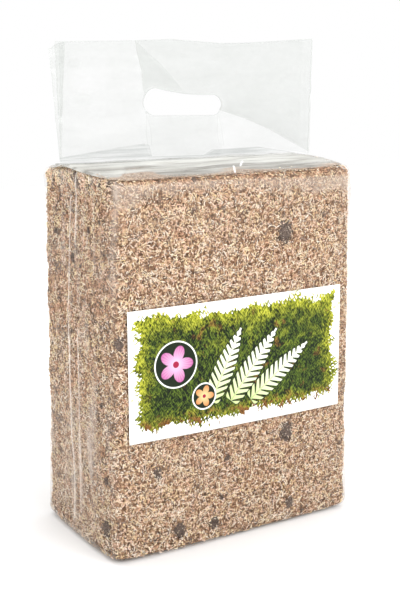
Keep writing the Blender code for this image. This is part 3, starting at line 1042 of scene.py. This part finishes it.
def hole_rim(edge):
    """The rim point nearest each edge point: the hole is a bar, narrower at its right, whose top dips."""
    line = HOLE_RIGHT - HOLE_LEFT
    share = np.clip((edge - HOLE_LEFT) @ line / (line @ line), 0, 1)[:, None]
    core = HOLE_LEFT + line * share
    away = (edge - core) / np.linalg.norm(edge - core, axis=1)[:, None]
    radius = HOLE_RADIUS[0] + (HOLE_RADIUS[1] - HOLE_RADIUS[0]) * share
    radius = radius - HOLE_DIP * np.sin(np.pi * share) * np.clip(away[:, 1:], 0, 1)
    return core + away * radius


# %% [markdown]
# The sheet isn't flat. It waves a little from side to side, springs away from its twin above the ridge, and
# keeps sharp creases: above and below the hand hole, slanting away from it, and upright near both sides. Each
# crease is a line between two places, raised like a tent.

# %% The header's creases
CREASES = (
    ((-0.0715, 0.5086), (-0.0652, 0.4793), 0.0007),
    ((-0.0652, 0.4793), (-0.0632, 0.4597), 0.0007),
    ((-0.0605, 0.4393), (-0.0573, 0.4059), 0.0006),
    ((0.0241, 0.4339), (0.0286, 0.4020), 0.0006),
    ((0.0291, 0.4380), (0.0599, 0.4286), -0.0009),
    ((0.0599, 0.4286), (0.1402, 0.3918), -0.0009),
    ((-0.0711, 0.5086), (-0.0215, 0.4640), 0.0008),
    ((-0.1480, 0.5079), (-0.1540, 0.4200), 0.0006),
    ((0.1360, 0.5100), (0.1355, 0.4000), 0.0005),
)
HAIRLINES = CREASES[:4]
CREASE_WIDTH = 0.0040
HEADER_WAVE, HEADER_HALF_WAVES = 0.0030, 1.5
SPRING, CLOSE_GAP, RIPPLE = 0.0042, 0.00035, 0.00045


def crease_height(place):
    """Sum of the creases at places x, z."""
    height = np.zeros(len(place))
    for start, end, rise in CREASES:
        start, line = np.array(start), np.array(end) - np.array(start)
        share = np.clip((place - start) @ line / (line @ line), 0, 1)[:, None]
        far = np.linalg.norm(place - start - line * share, axis=1)
        height += rise * np.clip(1 - far / CREASE_WIDTH, 0, 1)
    return height


def header_points(edge, front):
    """The sheet from rim to edge, and its depth: a slow wave, a parting above the ridge, and creases."""
    rim = hole_rim(edge)
    share = np.concatenate([RIM_SHARES, np.linspace(0.03, 0.97, HEADER_RINGS - 4), EDGE_SHARES])
    flat = (rim + (edge - rim) * share[:, None, None]).reshape(-1, 2)
    x, z = flat.T
    up = np.clip((z - ridge_height(x)) / (TOP_EDGE[1][1] - RIDGE[0][1]), 0, 1)
    across = np.clip((x - RIDGE_LEFT) / (RIDGE_RIGHT - RIDGE_LEFT), 0, 1)
    wave = HEADER_WAVE * up * np.sin(HEADER_HALF_WAVES * np.pi * across)
    spring = RIDGE_GAP + SPRING * np.sin(np.pi * np.clip(up * 2.6, 0, 1)) * np.sin(np.pi * across) ** 0.5
    together = smooth(up, 0.25, 0.6)
    parting = spring * (1 - together) + CLOSE_GAP * together
    solid = np.column_stack([x * 0.35, x * 0, z * 1.4])
    ripple = waves(solid, 0.022, 320 if front else 321) * RIPPLE * np.clip(up * 6, 0, 1)
    depth = wave + (-1 if front else 1) * parting + ripple * (1 - smooth(up, 0.9, 1.0) * 0.7)
    depth = depth - crease_height(flat) * np.clip(up * 8, 0, 1)
    at_edge = np.repeat((share == 0) | (share == 1), len(edge))
    return np.column_stack([x, depth, z]), at_edge * np.clip(up * 20, 0, 1)


# %% [markdown]
# Against a white wall the header is only a shade of grey. The shades are made in the shader, where they stay
# sharp: a darker panel to the right of the slanting crease with its darkest corner beside the hand hole, a
# clearer corner at the lower right, a pane under the hole, a folded strip at the left, soft ovals at the
# upper left, hairlines along the upright creases by the hole and along the edges, and grey pleats that rise
# from the ridge like low hills.

# %% The header's material
PLEAT_HILLS = ((-0.1600, 0.3972), (-0.1354, 0.3999), (-0.0893, 0.4049), (-0.0604, 0.4072), (-0.0560, 0.3940),
               (0.0084, 0.3928), (0.0183, 0.3978), (0.0761, 0.3984), (0.1178, 0.3915), (0.1440, 0.3862))
SLANT = ((-0.0711, 0.5086), (-0.0430, 0.4863), (-0.0215, 0.4640), (0.0000, 0.4440))
UPRIGHT = ((0.4300, -0.0610), (0.4597, -0.0632), (0.4793, -0.0652), (0.5090, -0.0715))
LOW_SLANT = ((0.0240, 0.4400), (0.0291, 0.4380), (0.0599, 0.4286), (0.0931, 0.4157), (0.1440, 0.3900))
STRIP = ((0.3900, -0.1560), (0.4224, -0.1552), (0.5090, -0.1545))
STRIP_INNER = ((0.3900, -0.1560), (0.4224, -0.1540), (0.4700, -0.1510), (0.5090, -0.1481))
HEADER_SHADE, CREASE_SHADE = 0.120, 0.13
MOTTLES = (
    {"middle": (-0.1220, 0.4800), "reach": (0.026, 0.022), "edge": (0.4, 1.3), "shade": -0.045},
    {"middle": (-0.1385, 0.4867), "reach": (0.009, 0.006), "edge": (0.2, 1.2), "shade": 0.070},
    {"middle": (-0.1296, 0.4522), "reach": (0.014, 0.007), "edge": (0.2, 1.2), "shade": 0.035},
)


def mottle(x, z, middle, reach, edge, shade):
    """A soft oval of this shade: full where the distance squared, in reaches, is below the edge's start."""
    across, up = (x - middle[0]) / reach[0], (z - middle[1]) / reach[1]
    return (1 - (across * across + up * up).between(*edge)) * shade


def header_shade(place):
    """How much the header darkens the wall behind it, and the share of pleats: masks, each times how much."""
    x, _, z = axes_of(place)
    below_slant = (x.traced(SLANT) - z).past(0.0006)
    right_of_upright = (x - z.traced(UPRIGHT)).past(0.0004)
    over_low = z - x.traced(LOW_SLANT)
    above_low = over_low.past(0.0006)
    above_pane = z.between(0.4360, 0.4380)
    right_of_hole = x.between(0.0180, 0.0290)
    panel = right_of_upright * (1 - right_of_hole * (1 - above_low)) * above_pane
    panel = panel.most(above_low * x.between(0.0270, 0.0300))
    corner = below_slant * right_of_upright * (1 - x.between(-0.030, 0.010)) * z.between(0.452, 0.470)
    near_low = above_low * (1 - over_low.between(0.0, 0.045)) * x.between(0.026, 0.040)
    clear = (1 - above_low) * x.between(0.0250, 0.0290)
    pane = x.between(-0.0600, -0.0585) * (1 - x.between(0.0255, 0.0290)) * (1 - above_pane)
    right_of_strip = (x - z.traced(STRIP)).past(0.0003)
    strip = right_of_strip * (1 - (x - z.traced(STRIP_INNER)).past(0.0004))
    right_band = x.between(0.128, 0.132)
    soft = noise(place, 22, detail=3, rough=0.55, stretch=(1, 1, 1.6))
    fine = noise(place, 120, detail=3, rough=0.6, stretch=(0.35, 1, 1.4))
    hill = z - x.traced(PLEAT_HILLS)
    pleats = 1 - hill.past(0.0006)
    streaks = noise(place, 60, detail=4, rough=0.65, stretch=(0.20, 1, 6.0)).between(0.36, 0.66)
    ridge_line = 1 - (z - x.traced(RIDGE)).between(0.0012, 0.0040)
    upper_left = (1 - right_of_upright) * z.between(0.455, 0.500)
    hill_line = 1 - (hill + 0.0004).size().between(0.0, 0.0008)
    shade = HEADER_SHADE
    for mask, much in (
        (panel, 0.10), (upper_left, 0.03), (corner, 0.10), (near_low, 0.05), (pane, 0.03), (clear, -0.045),
        (strip, 0.22), (1 - right_of_strip, 0.12), (right_band * panel, -0.03), (soft - 0.5, 0.18),
        (fine - 0.5, 0.05), (pleats, 0.04), (pleats * streaks, 0.20), (hill_line, 0.08), (ridge_line, -0.10),
        (number(place, "rim"), 0.18),
    ):
        shade = shade + mask * much
    for spot in MOTTLES:
        shade = shade + mottle(x, z, **spot)
    for start, end, _ in HAIRLINES:
        shade = shade + hairline(x, z, start, end) * CREASE_SHADE
    return shade, pleats * streaks


def header_material(name):
    """The alpha is the shade of grey, and a little more at a glancing view; the pleats are darker."""
    material, shader, place = new_material(name, Roughness=0.2, IOR=1.45)
    shade, pleats = header_shade(place)
    glance = place.node("LayerWeight", None, {"Blend": 0.2}, output=1)
    cover = (shade + glance * 0.08).held()
    tone = pleats.mixed("a4a8a4", "8f9492")
    soft = noise(place, 40, detail=3, rough=0.6, stretch=(0.6, 1, 1.4))
    feed(shader, Base_Color=tone, Alpha=cover, Normal=bump(soft, 0.3, 0.002))
    return material


def build_header(name, front, left_top, drop):
    """One sheet of the header, its faces turned to look out."""
    edge = outline(left_top, drop)
    points, rim = header_points(edge, front)
    faces = grid_faces(HEADER_RINGS, len(edge), ring=True)
    if not front:
        faces = faces[:, ::-1]
    sheet = add_piece(name, points, faces, header_material(name), {"rim": rim})
    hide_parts("film_header")


build_header("header_front", True, FRONT_LEFT_TOP, 0.0)
build_header("header_back", False, BACK_LEFT_TOP, BACK_TOP_DROP)

# %% [markdown]
# ## The label
#
# A sheet of coated paper lies on the front of the bag and follows its bulge. It gets the paper's thickness
# from Solidify. Its print is a picture of nothing but plants, drawn by sums of the sheet's coordinates in
# millimetres: a ragged field of moss, lime at its rim and deep olive inside, pale fern fronds with dark
# outlines, and round panels with a flower.

# %% The label's print
PAPER_LOW, PAPER_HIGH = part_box("label")
PAPER_WIDTH = (PAPER_HIGH[0] - PAPER_LOW[0]) / MM
FRONDS = (((92, 30), (128, 102), 17), ((116, 27), (172, 96), 17), ((140, 25), (212, 76), 16))
PANELS = (((52, 74), 24, "a32b80", "d9b7cf"), ((84, 37), 14, "b8601c", "d9c48e"))
PANEL_RIM, PETAL_REACH, HEART = 1.4, 0.80, 0.14
FROND_FADE = 90
FIELD = {"left": 15, "right": 15, "low": 17, "high": 118, "rim": 19}
TEETH = ((5.2, 0.50), (4.1, -0.60))


def distance(u, v, centre):
    """How far u, v is from a centre."""
    du, dv = u - centre[0], v - centre[1]
    far = du * du + dv * dv
    return far.maths("SQRT", far)


def disc(u, v, centre, radius):
    """1 inside a circle."""
    return 1 - distance(u, v, centre).between(radius - 0.3, radius + 0.3)


def frond(u, v, root, tip, width, grow):
    """1 inside a fern frond: slanting leaflets on both sides of a stem, in an outline that tapers to its tip.

    grow widens every part, for the dark outline under the frond.
    """
    length = (Vector(tip) - Vector(root)).length
    left, along = straight_line(u, v, root, tip)
    across = left.size()
    reach = (1 - along / length) * (along / length + 0.30) * width * 1.7 + grow * 1.2
    slanted = (along - across * 0.75) / 7.0
    leaflet = (slanted.maths("FRACT", slanted) - 0.5).size()
    shape = 0.42 + grow * 0.10 - (across / reach) * 0.20
    leaves = (shape - leaflet).past(0.03) * (reach - across).past(0.3)
    stem = 1 - across.between(0.9 + grow, 1.3 + grow)
    inside = along.between(-0.5 - grow, 0.5) * (1 - along.between(length - 1.0, length + grow))
    return leaves.most(stem) * inside


def flower(u, v, centre, radius):
    """1 inside five petals, where the reach swells five times round; the distance; and 1 on the veins."""
    far = distance(u, v, centre)
    turn = far.maths("ARCTAN2", v - centre[1], u - centre[0])
    swell = far.maths("COSINE", turn * 2.5).size()
    petals = 1 - (far - (swell * 0.55 + 0.45) * (radius * PETAL_REACH)).past(0.4)
    veins = far.maths("SINE", turn * 35).between(0.2, 1.0) * far.between(radius * 0.15, radius * 0.4)
    return petals, far, veins


def strokes(place, turn):
    """Noise drawn out into short strokes that lean by turn, from 0 to 1."""
    lean = {0: place, 2: (0, turn, 0), 3: (0.40, 1, 1.9)}
    leaning = place.node("Mapping", {"vector_type": "TEXTURE"}, lean)
    return place.node("TexNoise", None, {0: leaning, "Scale": 430, "Detail": 2.0, "Roughness": 0.6})


def blades(place, run, into, seed):
    """Blades from 0 to 1 along an edge: two rows of pointed teeth that lean to either side.

    Each row is a triangle wave of the run along the edge, sheared by the way into the field, and pushed about
    and made longer or shorter by noise.
    """
    moved = place.node("Mapping", None, {0: place, 1: (seed, 0, 0)})
    push = noise(moved, 60, detail=2, rough=0.6) * 3.0
    tall = noise(moved, 75, detail=3, rough=0.7).between(0.30, 0.70)
    rows = []
    for spacing, lean in TEETH:
        phase = (run + into * lean) / spacing + push
        rows.append((phase.maths("FRACT", phase) - 0.5).size() * 2)
    return rows[0].most(rows[1]) * (tall * 0.85 + 0.15)


def moss_print(place, u, v):
    """The printed field of moss: 1 inside it, and its colour."""
    tufts = noise(place, 110, detail=3, rough=0.65)
    mounds = noise(place, 42, detail=1) - 0.5
    low = v - FIELD["low"]
    sides = ((FIELD["high"] - v, u), (low, u), (u - FIELD["left"], v), (PAPER_WIDTH - FIELD["right"] - u, v))
    inside = None
    for seed, (edge, run) in enumerate(sides):
        edge = edge + mounds * 24 + (tufts - 0.5) * 8 + blades(place, run, edge, seed * 1.3) * 13
        inside = edge if inside is None else inside.least(edge)
    rim = 1 - (inside / FIELD["rim"]).held()
    sunny = (rim * 1.05 + (tufts - 0.5) * 1.3 + (v - 80) / 260).held()
    leaves = strokes(place, 0.6).most(strokes(place, -0.5)) * 0.8 + tufts * 0.2
    tone = leaves.between(0.44, 0.64)
    lime = tone.coloured((0.0, "262e08"), (0.35, "6b7413"), (0.75, "a3a629"), (1.0, "bdba45"))
    deep = tone.coloured((0.0, "060a04"), (0.5, "1e2c0d"), (1.0, "566a1f"))
    brown = tone.coloured((0.0, "1f1408"), (1.0, "80562a"))
    tips = (1 - (low + mounds * 24).between(0, 9)) * tufts.between(0.47, 0.58)
    tips = tips.most((1 - rim) * (noise(place, 75, detail=3) - 0.5).between(0.10, 0.16) * 0.7)
    return inside.past(0.4), tips.mixed(sunny.mixed(deep, lime), brown)


def label_material():
    """White paper, with the field of moss, then the fronds and the panels painted over it one by one."""
    material, shader, place = new_material(
        "printed_paper", Roughness=0.45, Specular_IOR_Level=0.12, Coat_Weight=0.04, Coat_Roughness=0.25
    )
    x, _, z = axes_of(place)
    u, v = (x - PAPER_LOW[0]) / MM, (z - PAPER_LOW[2]) / MM
    field, moss = moss_print(place, u, v)
    colour = field.mixed("f4f4f0", moss)
    for root, tip, breadth in FRONDS:
        across, along = straight_line(u, v, root, tip)
        far = (along / FROND_FADE).held()
        leaf = (1 - far).mixed("f4f5ec", "b9c98a")
        vein = 1 - across.size().between(0.15, 0.55)
        leaf = (vein * 0.7).mixed(leaf, "6f8a3a")
        colour = frond(u, v, root, tip, breadth, 1.0).mixed(colour, "0d1408")
        colour = frond(u, v, root, tip, breadth, 0.0).mixed(colour, leaf)
    for centre, radius, petal, heart in PANELS:
        petals, far, veins = flower(u, v, centre, radius)
        bloom = (far / radius).held().mixed(heart, petal)
        bloom = (veins * 0.25).mixed(bloom, "5c1446")
        shade = strokes(place, 1.1).mixed("060905", "1e2b18")
        colour = disc(u, v, centre, radius).mixed(colour, "f3f4ee")
        colour = disc(u, v, centre, radius - PANEL_RIM).mixed(colour, shade)
        colour = petals.mixed(colour, bloom)
        colour = disc(u, v, centre, radius * HEART).mixed(colour, "8f1f3c")
    feed(shader, Base_Color=colour, Normal=bump(noise(place, 1500), 0.08, 0.0002))
    return material


# %% Lay the label
LABEL_COLUMNS, LABEL_ROWS = 66, 34
LABEL_OUT, LABEL_RIPPLE, PAPER = 0.00042, 0.00008, 0.0002


def build_label():
    """A grid over the front of the straight box, rippled a little, then pressed with the bale."""
    across, up = np.meshgrid(np.linspace(0, 1, LABEL_COLUMNS), np.linspace(0, 1, LABEL_ROWS))
    x = PAPER_LOW[0] + (PAPER_HIGH[0] - PAPER_LOW[0]) * across.ravel()
    z = PAPER_LOW[2] + (PAPER_HIGH[2] - PAPER_LOW[2]) * up.ravel()
    flat = np.column_stack([x, np.full(len(x), -BALE[1] / 2), z])
    bent = pressed(flat)
    ripple = waves(flat * [1, 0, 0.6], 0.07, 330) * LABEL_RIPPLE
    points = np.column_stack([x, bent[:, 1] - LABEL_OUT - ripple, z])
    label = add_piece(
        "label_sheet", points, grid_faces(LABEL_ROWS, LABEL_COLUMNS), label_material()
    )
    paper = label.modifiers.new("paper", "SOLIDIFY")
    paper.thickness = PAPER
    paper.offset = 1.0
    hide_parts("label")


build_label()

# %% [markdown]
# ## The studio
#
# The picture is a pack shot on white: a floor with a patch of painted shade, pale grey by the bale, that runs
# out into a white surround, soft light from all round, and one large soft light before the front that makes
# it a little brighter than the side. Weaker lights stand at the left, above, at the right and behind, clear
# of the line along which the roof would mirror them into the camera. The camera's place was worked out from
# the outlines of the bale.

# %% Floor, light and camera
FLOOR_SIZE = 6.0
FLOOR_SHADE_FADE = (0.20, 0.40)
LIGHTS = (
    ("key", (0.35, -1.9, 1.4), 1.3, 39),
    ("fill", (-1.9, -0.5, 1.2), 1.4, 10),
    ("top", (0.0, 0.2, 2.2), 1.6, 14),
    ("right", (2.2, -0.2, 0.9), 1.2, 12),
    ("back", (-0.9, 2.0, 0.8), 1.3, 20),
)
CAMERA_AT = (-0.6108, -1.0009, 0.4945)
CAMERA_LOOKS_AT = (0.00214, 0.0, 0.2386)
CAMERA_ROLL = -0.057
LENS = 67.35


def add_floor():
    """A square of floor with painted shade round the bale: pale grey in the middle and white further out."""
    material, shader, place = new_material("studio_floor", Roughness=0.9)
    far = place.node("VectorMath", {"operation": "LENGTH"}, {0: place}, output=1)
    # Painted shade: the floor is pale grey dedede round the bale and fades to white, which deepens the
    # contact shadow.
    wide = (far + noise(place, 3) * 0.02).between(*FLOOR_SHADE_FADE)
    feed(shader, Base_Color=wide.mixed("dedede", "ffffff"))
    half = FLOOR_SIZE / 2
    mesh = bpy.data.meshes.new("studio_floor")
    corners = [(-half, -half, 0), (half, -half, 0), (half, half, 0), (-half, half, 0)]
    mesh.from_pydata(corners, [], [(0, 1, 2, 3)])
    mesh.materials.append(material)
    floor = put("studio_floor", mesh)


def add_light(name, place, size, watts):
    """A square soft light that looks at the middle of the bale."""
    lamp = bpy.data.lights.new(name, "AREA")
    lamp.size = size
    lamp.energy = watts
    put(name, lamp, place, MIDDLE)


def add_camera():
    """The camera, turned to its target and then rolled by a fraction of a degree."""
    lens = bpy.data.cameras.new("camera")
    lens.lens = LENS
    camera = put("camera", lens, CAMERA_AT, CAMERA_LOOKS_AT)
    camera.rotation_euler.rotate_axis("Z", math.radians(CAMERA_ROLL))
    bpy.context.scene.camera = camera


world = bpy.data.worlds.new("white surround")
world.use_nodes = True
surround = world.node_tree.nodes["Background"].inputs
surround["Color"].default_value = (1, 1, 1, 1)
surround["Strength"].default_value = 1.0
bpy.context.scene.world = world
bpy.context.scene.view_settings.view_transform = "Standard"
add_floor()
for light in LIGHTS:
    add_light(*light)
add_camera()
print("lights and camera are in place")
